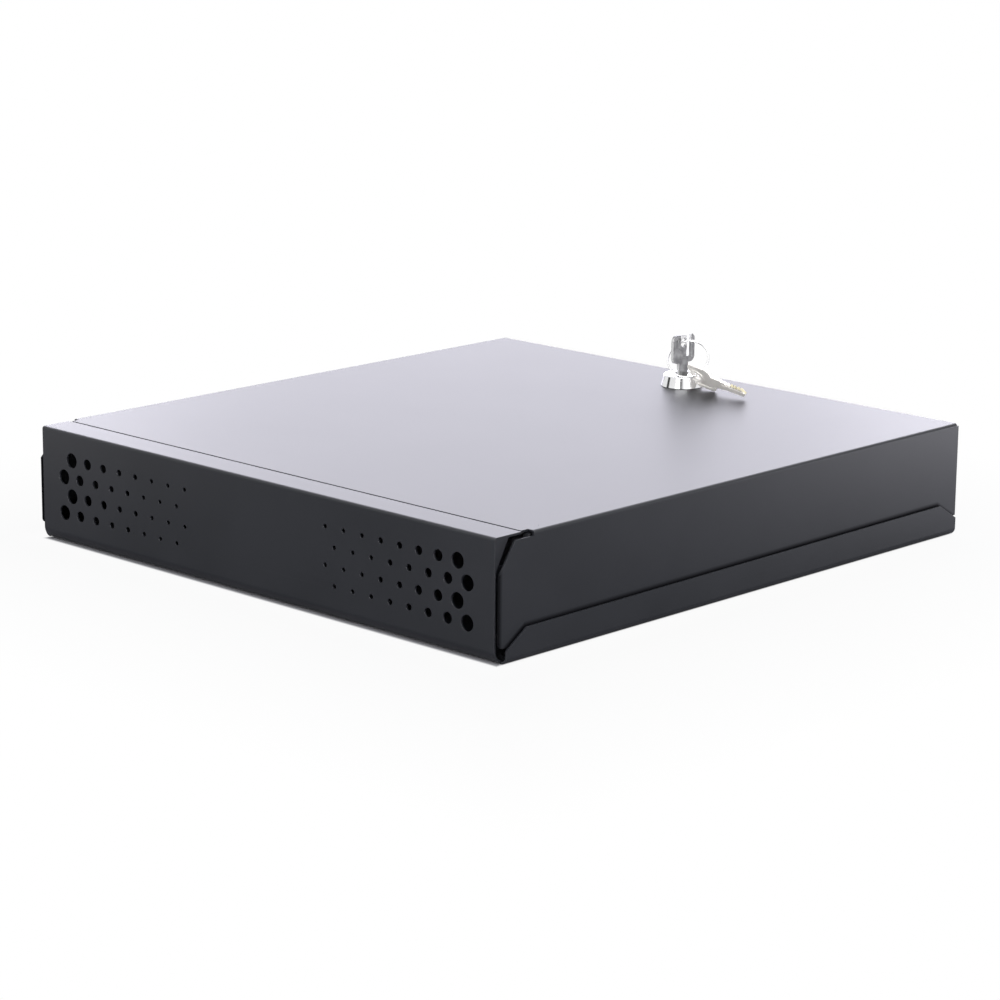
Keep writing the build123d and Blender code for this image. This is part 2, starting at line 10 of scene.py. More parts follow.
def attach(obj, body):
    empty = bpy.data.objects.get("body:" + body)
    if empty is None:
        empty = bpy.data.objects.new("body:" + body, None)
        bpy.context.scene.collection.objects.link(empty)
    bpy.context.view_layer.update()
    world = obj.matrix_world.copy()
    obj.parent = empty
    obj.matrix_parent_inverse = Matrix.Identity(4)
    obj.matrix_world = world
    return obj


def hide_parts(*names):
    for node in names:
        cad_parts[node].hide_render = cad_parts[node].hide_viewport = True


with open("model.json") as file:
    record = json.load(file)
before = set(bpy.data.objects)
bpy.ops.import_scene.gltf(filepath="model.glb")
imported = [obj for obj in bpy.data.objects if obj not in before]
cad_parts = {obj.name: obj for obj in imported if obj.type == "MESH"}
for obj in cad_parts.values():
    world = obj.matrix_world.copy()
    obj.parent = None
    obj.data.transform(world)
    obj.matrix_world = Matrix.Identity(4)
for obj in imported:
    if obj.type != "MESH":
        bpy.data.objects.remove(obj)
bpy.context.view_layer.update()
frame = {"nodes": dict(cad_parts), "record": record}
scene = bpy.context.scene
scene.view_settings.view_transform = "Standard"
print("frame loaded:", len(frame["nodes"]), "nodes")

# Camera

cameraView = {
    "place": (1.5092, -1.5877, 0.5634),
    "yaw": -0.760625,      # radians, from +Y towards -X
    "pitch": 0.240836,     # downwards
    "roll": -0.0094136,
    "lens": 115.64,        # mm
    "sensor": 36,          # mm
    "farthest": 100,       # metres
}


def aimCamera(view):
    sinYaw, cosYaw = math.sin(view["yaw"]), math.cos(view["yaw"])
    sinPitch, cosPitch = math.sin(view["pitch"]), math.cos(view["pitch"])
    sinRoll, cosRoll = math.sin(view["roll"]), math.cos(view["roll"])
    level = Vector((cosYaw, -sinYaw, 0))
    over = Vector((sinPitch * sinYaw, sinPitch * cosYaw, cosPitch))
    right = level * cosRoll - over * sinRoll
    up = level * sinRoll + over * cosRoll
    back = right.cross(up)
    data = bpy.data.cameras.new("camera")
    data.sensor_width = view["sensor"]
    data.lens = view["lens"]
    data.clip_end = view["farthest"]
    camera = bpy.data.objects.new("camera", data)
    turn = Matrix((right, up, back)).transposed()
    camera.matrix_world = Matrix.Translation(view["place"]) @ turn.to_4x4()
    scene.collection.objects.link(camera)
    scene.camera = camera


aimCamera(cameraView)

# Finishes


class Wire:                        # a socket that can stand in a sum
    def __init__(self, finish, socket):
        self.finish = finish
        self.socket = socket

    def worked(self, operation, first, second):
        return self.finish.add("ShaderNodeMath", {"operation": operation}, {0: first, 1: second})

    def __add__(self, other):
        return self.worked("ADD", self, other)

    def __radd__(self, other):
        return self.worked("ADD", other, self)

    def __sub__(self, other):
        return self.worked("SUBTRACT", self, other)

    def __rsub__(self, other):
        return self.worked("SUBTRACT", other, self)

    def __mul__(self, other):
        return self.worked("MULTIPLY", self, other)

    def __rmul__(self, other):
        return self.worked("MULTIPLY", other, self)

    def lower(self, other):
        return self.worked("MINIMUM", self, other)

    def higher(self, other):
        return self.worked("MAXIMUM", self, other)


class Finish:                      # one material, or the world, and what adds a node to it
    def __init__(self, owner, values=None):
        owner.use_nodes = True
        self.owner = owner
        self.tree = owner.node_tree
        self.surface = self.tree.nodes.get("Principled BSDF")      # a world has none
        for name, value in (values or {}).items():
            self.surface.inputs[name].default_value = value

    def add(self, kind, settings=None, sockets=None, output=0):
        node = self.tree.nodes.new(kind)
        for name, value in (settings or {}).items():
            setattr(node, name, value)
        for name, value in (sockets or {}).items():
            self.feed(node.inputs[name], value)
        return Wire(self, node.outputs[output])

    def feed(self, socket, value):
        if isinstance(value, Wire):
            self.tree.links.new(value.socket, socket)
        else:
            socket.default_value = value

    def shade(self, **sockets):    # baseColor=... feeds Base Color
        for name, value in sockets.items():
            words = "".join(" " + letter if letter.isupper() else letter for letter in name)
            self.feed(self.surface.inputs[words.title()], value)
        return self.owner

    def cover(self, share, shader):    # lays another shader over the surface
        output = self.tree.nodes["Material Output"].inputs["Surface"]
        below = Wire(self, self.surface.outputs[0])
        self.feed(output, self.add("ShaderNodeMixShader", None, {0: share, 1: below, 2: shader}))

    def place(self, kind="Object"):
        return self.add("ShaderNodeTexCoord", output=kind)

    def part(self, vector, axis):
        return self.add("ShaderNodeSeparateXYZ", None, {"Vector": vector}, axis)

    def along(self, axis):
        return self.part(self.place(), axis)

    def vectorMath(self, operation, first, second=(0, 0, 0), output=0):
        return self.add("ShaderNodeVectorMath", {"operation": operation}, {0: first, 1: second}, output)

    def sight(self, *rays):        # 1 where a ray of one of these kinds looks, and 0 elsewhere
        path = self.tree.nodes.new("ShaderNodeLightPath").outputs
        seen = Wire(self, path[rays[0]])
        for ray in rays[1:]:
            seen = seen.higher(Wire(self, path[ray]))
        return seen

    def noise(self, scale, detail=2):
        return self.add("ShaderNodeTexNoise", None, {
            "Vector": self.place(), "Scale": scale, "Detail": detail, "Roughness": 0.5})

    def between(self, amount, low, high):      # a colour mix: sockets 6 and 7, and output 2
        kind = {"data_type": "RGBA", "clamp_factor": True}
        return self.add("ShaderNodeMix", kind, {0: amount, 6: low, 7: high}, 2)

    def spread(self, value, lowIn, highIn, lowOut, highOut):
        return self.add("ShaderNodeMapRange", {"clamp": True}, {
            "Value": value, "From Min": lowIn, "From Max": highIn, "To Min": lowOut, "To Max": highOut})

    def bump(self, height, depth, strength):
        return self.add("ShaderNodeBump", None, {
            "Height": height, "Distance": depth, "Strength": strength})


noiseCore = (0.35, 0.65)           # a noise is mostly within these values
noiseSpan = (0.3, 0.7)             # and almost wholly within these


def newFinish(name, values=None):
    return Finish(bpy.data.materials.new(name), values)


def makePowderCoat(name):
    coat = {
        "gloss": 0.40,
        "dark": (0.0066, 0.0074, 0.0098, 1),
        "pale": (0.0088, 0.0096, 0.0124, 1),
        "roughness": (0.43, 0.47),
        "cloudScale": 14,
        "peelScale": 620,          # bumps of about a millimetre and a half
        "peelDepth": 0.000022,
        "peelStrength": 0.6,
        "speckScale": 2600,
        "speckGloss": 0.85,        # share of the specks in the roughness, the rest being cloud
        "speckHeight": 0.25,       # beside the peel's height
    }
    finish = newFinish(name, {"Specular IOR Level": coat["gloss"]})
    cloud = finish.noise(coat["cloudScale"], detail=3)
    peel = finish.noise(coat["peelScale"], detail=1)
    speck = finish.noise(coat["speckScale"], detail=1)
    grain = cloud * (1 - coat["speckGloss"]) + speck * coat["speckGloss"]
    height = peel + speck * coat["speckHeight"]
    finish.shade(
        baseColor=finish.between(finish.spread(cloud, *noiseCore, 0, 1), coat["dark"], coat["pale"]),
        roughness=finish.spread(grain, *noiseCore, *coat["roughness"]),
        normal=finish.bump(height, coat["peelDepth"], coat["peelStrength"]),
    )
    return finish


def makeSkirtedCoat():             # with a painted shadow line where the skirts pass behind the flanges, and along the wings' front edges
    gapShadow = {
        "colour": (0.002, 0.002, 0.0025, 1),
        "most": 0.85,
        "flangeTop": ((-0.2108, 0.0213), (0.2127, 0.0238)),      # y and z of its two ends
        "frontCut": ((-0.2288, 0.0092), (-0.2108, 0.0213)),
        "rearCut": ((0.2127, 0.0238), (0.2315, 0.0124)),
        "reach": (0.0004, 0.0030),     # above the flange's edge: full, and gone
        "wingFront": -0.2333,
        "wingReach": 0.0030,
    }
    finish = makePowderCoat("blackPowderCoatSkirted")
    depth = finish.along("Y")

    def heightOn(line):
        (y0, z0), (y1, z1) = line
        return (depth - y0) * ((z1 - z0) / (y1 - y0)) + z0

    edge = heightOn(gapShadow["flangeTop"]).lower(heightOn(gapShadow["frontCut"]))
    above = finish.along("Z") - edge.lower(heightOn(gapShadow["rearCut"]))
    seam = finish.spread(above, *gapShadow["reach"], 1, 0)
    wing = finish.spread(depth - gapShadow["wingFront"], 0, gapShadow["wingReach"], 1, 0)
    # painted shadow: a dark diffuse laid over the coat just above the flanges' edges and behind the wings'
    # front edges
    shadowCover = finish.add("ShaderNodeBsdfDiffuse", None, {"Color": gapShadow["colour"]})
    finish.cover(seam.higher(wing) * gapShadow["most"], shadowCover)
    return finish.owner


def makeZinc():
    zinc = {
        "dull": (0.42, 0.43, 0.44, 1),
        "bright": (0.58, 0.59, 0.60, 1),
        "roughness": (0.28, 0.42),
        "patchScale": 160,
        "grainScale": 1500,
        "grainDepth": 0.00001,
        "grainStrength": 0.4,
    }
    finish = newFinish("zincPlate", {"Metallic": 1.0})
    patches = finish.noise(zinc["patchScale"], detail=3)
    grain = finish.noise(zinc["grainScale"])
    return finish.shade(
        baseColor=finish.between(finish.spread(patches, *noiseCore, 0, 1), zinc["dull"], zinc["bright"]),
        roughness=finish.spread(grain * 0.5 + patches * 0.5, *noiseCore, *zinc["roughness"]),
        normal=finish.bump(grain, zinc["grainDepth"], zinc["grainStrength"]),
    )


platings = {
    "chromePlate": {
        "shade": (0.74, 0.74, 0.75, 1), "gleam": (0.84, 0.84, 0.85, 1), "roughness": (0.06, 0.13),
        "hazeScale": 220, "detail": 2},
    "blackZincPlate": {
        "shade": (0.025, 0.025, 0.027, 1), "gleam": (0.05, 0.05, 0.053, 1), "roughness": (0.42, 0.55),
        "hazeScale": 180, "detail": 3},
    "polishedWire": {
        "shade": (0.86, 0.86, 0.86, 1), "gleam": (0.95, 0.95, 0.95, 1), "roughness": (0.2, 0.3),
        "hazeScale": 420, "detail": 2},
}


def makePlating(name):
    plating = platings[name]
    finish = newFinish(name, {"Metallic": 1.0})
    haze = finish.noise(plating["hazeScale"], plating["detail"])
    return finish.shade(
        baseColor=finish.between(haze, plating["shade"], plating["gleam"]),
        roughness=finish.spread(haze, *noiseSpan, *plating["roughness"]),
    )


def makeWornNickel():              # the spare key's, bare brass where its cuts are
    nickel = {
        "shade": (0.88, 0.85, 0.80, 1),
        "gleam": (0.95, 0.925, 0.88, 1),
        "brass": (0.50, 0.46, 0.32, 1),
        "roughness": (0.40, 0.50),
        "metallic": (0.14, 0.24),
        "hazeScale": 300,
        "grainScale": 2400,
        "grainDepth": 0.000006,
        "grainStrength": 0.4,
    }
    finish = newFinish("wornNickel")
    haze = finish.noise(nickel["hazeScale"], detail=3)
    grain = finish.noise(nickel["grainScale"])
    cut = finish.add("ShaderNodeAttribute", {"attribute_name": "bareBrass"}, None, "Fac")
    plated = finish.between(haze, nickel["shade"], nickel["gleam"])
    return finish.shade(
        baseColor=finish.between(cut, plated, nickel["brass"]),
        metallic=finish.spread(haze, *noiseCore, *nickel["metallic"]),
        roughness=finish.spread(haze * 0.5 + grain * 0.5, *noiseCore, *nickel["roughness"]),
        normal=finish.bump(grain, nickel["grainDepth"], nickel["grainStrength"]),
    )


def makeShadedNickel():            # the first key's: a plate darkened as painted shade, with painted highlights on the flute, the top and the front edge
    nickel = {
        # painted shade: the plain plate is nickel darkened to stand for the dark reflections on it
        "shade": (0.09, 0.09, 0.09, 1),
        "gleam": (0.21, 0.21, 0.21, 1),
        "flute": (0.92, 0.92, 0.92, 1),
        "crown": (0.46, 0.46, 0.46, 1),        # painted highlight on the top and the front edge of the plate
        "fluteAcross": (0.1956, 0.1984),       # y, from edge to edge of the flute's painted highlight
        "fluteHeight": (0.1015, 0.1215),
        "crownAcross": (0.1886, 0.2010),
        "crownHeight": (0.1122, 0.1195),
        "blend": 0.0004,                       # over which each of them begins and ends
        "frontFacing": (-0.9, -0.6),           # y of the normal, from all of that edge's painted highlight to none
        "metallic": (0.3, 0.05),               # of the plain face, and of the painted highlights
        "roughness": (0.32, 0.42),
        "hazeScale": 170,
        "ripple": 0.00010,
    }
    finish = newFinish("shadedNickel")
    haze = finish.noise(nickel["hazeScale"])
    across, height = finish.along("Y"), finish.along("Z")
    blend = nickel["blend"]

    def within(value, low, high):
        return finish.spread(value, low, low + blend, 0, 1) * finish.spread(value, high - blend, high, 1, 0)

    flute = within(across, *nickel["fluteAcross"]) * within(height, *nickel["fluteHeight"])
    crown = within(across, *nickel["crownAcross"]) * within(height, *nickel["crownHeight"])
    facing = finish.part(finish.place("Normal"), "Y")
    # painted highlight on the top bar and where the plate faces the front
    highlit = crown.higher(finish.spread(facing, *nickel["frontFacing"], 1, 0))
    plain = finish.between(finish.spread(haze, *noiseCore, 0, 1), nickel["shade"], nickel["gleam"])
    plate = finish.between(highlit, plain, nickel["crown"])
    return finish.shade(
        baseColor=finish.between(flute, plate, nickel["flute"]),
        metallic=finish.spread(flute.higher(highlit), 0, 1, *nickel["metallic"]),
        roughness=finish.spread(haze, *noiseSpan, *nickel["roughness"]),
        normal=finish.bump(haze, nickel["ripple"], strength=1.0),
    )


def makeRubber():
    rubber = {
        "gloss": 0.3,
        "dark": (0.010, 0.010, 0.010, 1),
        "pale": (0.020, 0.020, 0.021, 1),
        "roughness": (0.62, 0.78),
        "cloudScale": 60,
        "grainScale": 1800,
        "grainDepth": 0.00003,
        "grainStrength": 0.5,
    }
    finish = newFinish("blackRubber", {"Specular IOR Level": rubber["gloss"]})
    grain = finish.noise(rubber["grainScale"])
    return finish.shade(
        baseColor=finish.between(finish.noise(rubber["cloudScale"]), rubber["dark"], rubber["pale"]),
        roughness=finish.spread(grain, *noiseSpan, *rubber["roughness"]),
        normal=finish.bump(grain, rubber["grainDepth"], rubber["grainStrength"]),
    )


finishes = {
    "black_powder_coat": makePowderCoat("blackPowderCoat").owner,
    "zinc_steel": makeZinc(),
    "chrome": makePlating("chromePlate"),
    "nickel": makeWornNickel(),
    "rubber": makeRubber(),
}
ownFinish = {                      # of nodes that differ from the rest of their slot
    "lid_shell": makeSkirtedCoat(),
    "hinge_pin_left": makePlating("blackZincPlate"),
    "key": makeShadedNickel(),
    "key_ring": makePlating("polishedWire"),
}
ownFinish["hinge_pin_right"] = ownFinish["hinge_pin_left"]
record = frame["record"]
slotOf = {part["node"]: part["material_slot"] for part in record["subparts"]}
bodyOf = {node: body for body, nodes in record["behaviour"]["bodies"].items() for node in nodes}


def finishOf(node):
    return ownFinish.get(node, finishes[slotOf[node]])


for name, node in frame["nodes"].items():
    node.data.materials.clear()
    node.data.materials.append(finishOf(name))
print("finishes made:", len({*finishes.values(), *ownFinish.values()}))

# What every piece of the scene goes through on its way to the node that it stands for


def standIn(name, mesh, node, smoothBelow=40):
    data = bpy.data.meshes.new(name)
    mesh.to_mesh(data)
    mesh.free()
    data.shade_smooth()
    data.set_sharp_from_angle(angle=math.radians(smoothBelow))
    piece = bpy.data.objects.new(name, data)
    scene.collection.objects.link(piece)
    piece.modifiers.new("even", "WEIGHTED_NORMAL").keep_sharp = True
    piece.data = evaluatedMesh(piece)
    piece.modifiers.clear()
    piece.data.materials.clear()
    piece.data.materials.append(finishOf(node))
    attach(piece, bodyOf[node])
    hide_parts(node)


def evaluatedMesh(piece):
    graph = bpy.context.evaluated_depsgraph_get()
    return bpy.data.meshes.new_from_object(
        piece.evaluated_get(graph), preserve_all_data_layers=True, depsgraph=graph)


def turnedSpot(axis, radius, angle, height):
    return axis[0] + radius * math.cos(angle), axis[1] + radius * math.sin(angle), height


# Copies of the solids with their cut edges rounded, as coated, plated or moulded edges are

roundedEdges = {
    "trayShell": {"node": "base_tray", "width": 0.00025, "clamp": True},
    "perforatedFront": {"node": "front_panel", "width": 0.0002, "clamp": False},
    "rearWall": {"node": "rear_panel", "width": 0.0002, "clamp": False},
    "lidSheet": {"node": "lid_shell", "width": 0.00025, "clamp": True},
    "bracketLeft": {"node": "hinge_bracket_left", "width": 0.0002, "clamp": True},
    "bracketRight": {"node": "hinge_bracket_right", "width": 0.0002, "clamp": True},
    "armLeft": {"node": "hinge_arm_left", "width": 0.0002, "clamp": False},
    "armRight": {"node": "hinge_arm_right", "width": 0.0002, "clamp": False},
    "pinLeft": {"node": "hinge_pin_left", "width": 0.0003, "clamp": True},
    "pinRight": {"node": "hinge_pin_right", "width": 0.0003, "clamp": True},
    "strikeAngle": {"node": "lock_strike", "width": 0.0002, "clamp": True},
    "camLever": {"node": "lock_cam", "width": 0.0003, "clamp": True},
    "stopDisc": {"node": "stop_washer", "width": 0.00015, "clamp": True},
    "camBolt": {"node": "cam_screw", "width": 0.0003, "clamp": True},
    "bodyNut": {"node": "lock_nut", "width": 0.0004, "clamp": True},
    "bodyWasher": {"node": "lock_washer", "width": 0.0002, "clamp": True},
    "plugBarrel": {"node": "lock_plug", "width": 0.00025, "clamp": True},
    "grommetLeft": {"node": "cable_grommet_left", "width": 0.0004, "clamp": True},
    "grommetRight": {"node": "cable_grommet_right", "width": 0.0004, "clamp": True},
    "bumperPads": {"node": "lid_bumpers", "width": 0.0003, "clamp": True},
    "keyBlank": {"node": "key", "width": 0.0003, "clamp": True},
}


def mergedCopy(node, mergeWithin=1e-6, flatWithin=0.3):        # metres, and degrees
    mesh = bmesh.new()
    mesh.from_mesh(frame["nodes"][node].data)
    bmesh.ops.remove_doubles(mesh, verts=mesh.verts, dist=mergeWithin)
    bmesh.ops.dissolve_limit(
        mesh, angle_limit=math.radians(flatWithin), use_dissolve_boundaries=False,
        verts=mesh.verts, edges=mesh.edges)
    return mesh


def roundEdges(mesh, width, clamp, segments=2, sharpFrom=30):
    sharp = [edge for edge in mesh.edges
             if len(edge.link_faces) == 2 and edge.calc_face_angle() > math.radians(sharpFrom)]
    bmesh.ops.bevel(
        mesh, geom=sharp, offset=width, offset_type="OFFSET", segments=segments, profile=0.5,
        affect="EDGES", clamp_overlap=clamp, loop_slide=True)


for name, values in roundedEdges.items():
    mesh = mergedCopy(values["node"])
    volume = mesh.calc_volume()
    roundEdges(mesh, values["width"], values["clamp"])
    openEdges = sum(1 for edge in mesh.edges if len(edge.link_faces) != 2)
    print(name, "volume kept", round(mesh.calc_volume() / volume, 4), "open edges", openEdges)
    standIn(name, mesh, values["node"])
print("edges rounded:", len(roundedEdges))

# Spare key: plated, with the cuts of its blade marked for bare brass

spareKey = {
    "node": "spare_key",
    "width": 0.0003,
    "origin": (0.044948, 0.185, 0.088118),
    "across": (-0.110863, 0.642788, -0.75798),
    "face": (0.093025, 0.766044, 0.636021),
    "edge": -0.0012,               # the cuts lie beyond this line across the blade
    "below": -0.0095,              # and below this one along it
    "facing": 0.6,                 # cosine to the blade's face, which is lower on the cuts' faces
}


def makeSpareKey(values):
    mesh = mergedCopy(values["node"])
    roundEdges(mesh, values["width"], True)
    across, face = Vector(values["across"]), Vector(values["face"])
    along = face.cross(across)
    layer = mesh.faces.layers.float.new("bareBrass")
    mesh.normal_update()
    for polygon in mesh.faces:
        spot = polygon.calc_center_median() - Vector(values["origin"])
        cut = spot.dot(across) < values["edge"] and spot.dot(along) < values["below"]
        polygon[layer] = float(cut and abs(polygon.normal.dot(face)) < values["facing"])
    standIn("spareBlank", mesh, values["node"])


makeSpareKey(spareKey)
print("spare key made")

# Split ring: flat wire in two turns that pass each other at the ends

splitRing = {
    "node": "key_ring",
    "wire": (0.0013, 0.00076),     # across the ring and along its axis
    "corner": 0.0002,
    "rise": 0.0008,                # from one turn to the next
    "rampFrom": 5.75,              # radians where the wire climbs to the second turn
    "endGap": 0.02,                # radians by which the far end stops short of the ramp
    "stepsPerTurn": 96,
}


def wireOutline(wire, corner):
    halfAcross, halfAlong = wire[0] / 2, wire[1] / 2
    outline = []
    for signAcross, signAlong in ((1, 1), (-1, 1), (-1, -1), (1, -1)):
        turned = [(halfAcross - corner, halfAlong), (halfAcross, halfAlong - corner)]
        if signAcross * signAlong > 0:
            turned.reverse()
        outline += [(signAcross * a, signAlong * b) for a, b in turned]
    return outline


def makeSplitRing(values):
    points = numpy.array([vertex.co for vertex in frame["nodes"][values["node"]].data.vertices])
    centre = (points.min(axis=0) + points.max(axis=0)) / 2
    axes = numpy.linalg.svd(points - points.mean(axis=0), full_matrices=False)[2]
    first, second, normal = (Vector(row) for row in axes)
    second = normal.cross(first)
    radius = numpy.linalg.norm((points - centre) @ numpy.array(axes[:2]).T, axis=1).mean()
    outline = wireOutline(values["wire"], values["corner"])
    fullTurn = 2 * math.pi
    ramp = values["rampFrom"]
    end = fullTurn + ramp - values["endGap"]
    steps = round(end / fullTurn * values["stepsPerTurn"])
    mesh = bmesh.new()
    rings = []
    for step in range(steps + 1):
        angle = end * step / steps
        share = min(max((angle - ramp) / (fullTurn - ramp), 0), 1)
        eased = share * share * (3 - 2 * share)
        lift = values["rise"] * (eased - 0.5)
        outward = first * math.cos(angle) + second * math.sin(angle)
        rings.append([mesh.verts.new(Vector(centre) + outward * (radius + a) + normal * (lift + b))
                      for a, b in outline])
    for low, high in zip(rings, rings[1:]):
        for index in range(len(outline)):
            after = (index + 1) % len(outline)
            mesh.faces.new((low[index], low[after], high[after], high[index]))
    mesh.faces.new(rings[0])
    mesh.faces.new(reversed(rings[-1]))
    bmesh.ops.recalc_face_normals(mesh, faces=mesh.faces)
    standIn("splitRing", mesh, values["node"], smoothBelow=50)


makeSplitRing(splitRing)
print("split ring made")

# Lock body: a turned head, a threaded barrel with two flats, and the stop lug under it

lockBody = {
    "node": "lock_housing",
    "axis": (0, 0.1925),
    "sides": 128,
    "head": {
        "low": 0.080,
        "high": 0.089,
        "foot": 0.0158,            # radius
        "crown": 0.0141,
        "round": 0.0016,
        "roundSteps": 8,
        "bore": 0.00705,
        "lip": 0.0003,             # chamfer at the foot and at the bore
    },
    "barrel": {
        "low": 0.058,
        "high": 0.0803,
        "radius": 0.00945,
        "flat": 0.00825,           # from the axis
        "pitch": 0.001,
        "depth": 0.00045,
        "rowsPerPitch": 6,
    },
    "lug": {
        "low": 0.0568,
        "high": 0.0583,
        "inner": 0.0078,
        "outer": 0.0092,
        "from": 255,               # degrees about the axis
        "to": 285,
        "steps": 8,
    },
}


def lathe(mesh, axis, outline, sides, shape=None):
    rings = []
    for side in range(sides):
        angle = 2 * math.pi * side / sides
        ring = []
        for radius, height in outline:
            if shape:
                radius = shape(radius, height, angle)
            ring.append(mesh.verts.new(turnedSpot(axis, radius, angle, height)))
        rings.append(ring)
    for side in range(sides):
        low, high = rings[side], rings[(side + 1) % sides]
        for index in range(len(outline)):
            after = (index + 1) % len(outline)
            mesh.faces.new((low[index], high[index], high[after], low[after]))


def turnHead(mesh, values):
    head = values["head"]
    outline = [
        (head["bore"], head["low"]),
        (head["foot"] - head["lip"], head["low"]),
        (head["foot"], head["low"] + head["lip"]),
    ]
    for step in range(head["roundSteps"] + 1):
        turn = math.pi / 2 * step / head["roundSteps"]
        inward = head["round"] * (1 - math.cos(turn))
        outline.append((head["crown"] - inward, head["high"] - head["round"] * (1 - math.sin(turn))))
    outline.append((head["bore"] + head["lip"], head["high"]))
    outline.append((head["bore"], head["high"] - head["lip"]))
    lathe(mesh, values["axis"], outline, values["sides"])


def turnBarrel(mesh, values):
    barrel, bore = values["barrel"], values["head"]["bore"]
    length = barrel["high"] - barrel["low"]
    rows = round(length / barrel["pitch"] * barrel["rowsPerPitch"])
    outline = [(bore, barrel["low"])]
    outline += [(barrel["radius"], barrel["low"] + length * row / rows) for row in range(rows + 1)]
    outline.append((bore, barrel["high"]))

    def threaded(radius, height, angle):
        if radius == bore:
            return radius
        phase = (height / barrel["pitch"] - angle / (2 * math.pi)) % 1
        radius -= barrel["depth"] * abs(2 * phase - 1)
        lean = max(abs(math.cos(angle)), 0.1)          # never nought
        return min(radius, barrel["flat"] / lean)

    lathe(mesh, values["axis"], outline, values["sides"], threaded)


def addLug(mesh, values):
    lug = values["lug"]
    outline = [(lug["inner"], lug["low"]), (lug["outer"], lug["low"]),
               (lug["outer"], lug["high"]), (lug["inner"], lug["high"])]
    rings = []
    for step in range(lug["steps"] + 1):
        turn = math.radians(lug["from"] + (lug["to"] - lug["from"]) * step / lug["steps"])
        rings.append([mesh.verts.new(turnedSpot(values["axis"], radius, turn, height))
                      for radius, height in outline])
    for low, high in zip(rings, rings[1:]):
        for index in range(len(outline)):
            after = (index + 1) % len(outline)
            mesh.faces.new((low[index], low[after], high[after], high[index]))
    mesh.faces.new(rings[0])
    mesh.faces.new(reversed(rings[-1]))


def makeLockBody(values):
    mesh = bmesh.new()
    turnHead(mesh, values)
    turnBarrel(mesh, values)
    addLug(mesh, values)
    bmesh.ops.recalc_face_normals(mesh, faces=mesh.faces)
    standIn("lockBody", mesh, values["node"], smoothBelow=35)


makeLockBody(lockBody)
print("lock body made")

# Rivets: turned once, then set out in rows by one geometry tree

rivetRows = {
    "floorOutline": [              # radius and height in mm, from the flush foot to the dimple
        (0, 0), (1.8, 0), (2.0, 0.2), (2.0, 3.0), (3.2, 3.0), (3.4, 3.2), (3.1, 3.55), (2.5, 3.9),
        (1.8, 4.15), (1.1, 4.28), (0.9, 4.2), (0.7, 3.6), (0, 3.5)],
    "wallOutline": [               # with a head on both sides
        (0, -1.3), (0.9, -1.25), (1.8, -1.0), (2.6, -0.62), (3.2, -0.2), (3.35, 0), (2.0, 0),
        (2.0, 3.0), (3.35, 3.0), (3.2, 3.2), (2.6, 3.62), (1.8, 4.0), (1.1, 4.2), (0.9, 4.1),
        (0.7, 3.6), (0, 3.5)],
    "sides": 32,
    "rows": {
        "frontRivetRow": {
            "node": "front_rivets", "outline": "floorOutline", "upright": True,
            "start": (-0.15, -0.208, 0), "step": (0.1, 0, 0), "count": 4},
        "rearRivetRow": {
            "node": "rear_rivets", "outline": "floorOutline", "upright": True,
            "start": (-0.15, 0.218, 0), "step": (0.1, 0, 0), "count": 4},
        "strikeRivetRow": {
            "node": "strike_rivets", "outline": "wallOutline", "upright": False,
            "start": (-0.022, 0.231, 0.0638), "step": (0.044, 0, 0), "count": 2},
    },
}


def rowTree():
    tree = bpy.data.node_groups.new("rivetRow", "GeometryNodeTree")
    ids = {}
    tree.interface.new_socket("Rivet", in_out="INPUT", socket_type="NodeSocketGeometry")
    for label, kind in (("Count", "Int"), ("Start", "Vector"), ("Step", "Vector"), ("Finish", "Material")):
        socket = tree.interface.new_socket(label, in_out="INPUT", socket_type="NodeSocket" + kind)
        ids[label] = socket.identifier
    tree.interface.new_socket("Row", in_out="OUTPUT", socket_type="NodeSocketGeometry")
    given = tree.nodes.new("NodeGroupInput")
    line = tree.nodes.new("GeometryNodeMeshLine")
    copies = tree.nodes.new("GeometryNodeInstanceOnPoints")
    real = tree.nodes.new("GeometryNodeRealizeInstances")
    plated = tree.nodes.new("GeometryNodeSetMaterial")
    result = tree.nodes.new("NodeGroupOutput")
    for source, output, target, socket in (
            (given, "Count", line, "Count"),
            (given, "Start", line, "Start Location"),
            (given, "Step", line, "Offset"),
            (line, "Mesh", copies, "Points"),
            (given, "Rivet", copies, "Instance"),
            (copies, "Instances", real, "Geometry"),
            (real, "Geometry", plated, "Geometry"),
            (given, "Finish", plated, "Material"),
            (plated, "Geometry", result, "Row")):
        tree.links.new(source.outputs[output], target.inputs[socket])
    return tree, ids


def turnRivet(outline, sides):
    mesh = bmesh.new()
    rings = []
    for radius, height in ((radius / 1000, height / 1000) for radius, height in outline):
        count = sides if radius else 1
        rings.append([mesh.verts.new(turnedSpot((0, 0), radius, 2 * math.pi * side / sides, height))
                      for side in range(count)])
    for low, high in zip(rings, rings[1:]):
        for side in range(sides):
            after = (side + 1) % sides
            corners = [low[side % len(low)], low[after % len(low)],
                       high[after % len(high)], high[side % len(high)]]
            mesh.faces.new(list(dict.fromkeys(corners)))
    bmesh.ops.recalc_face_normals(mesh, faces=mesh.faces)
    return mesh


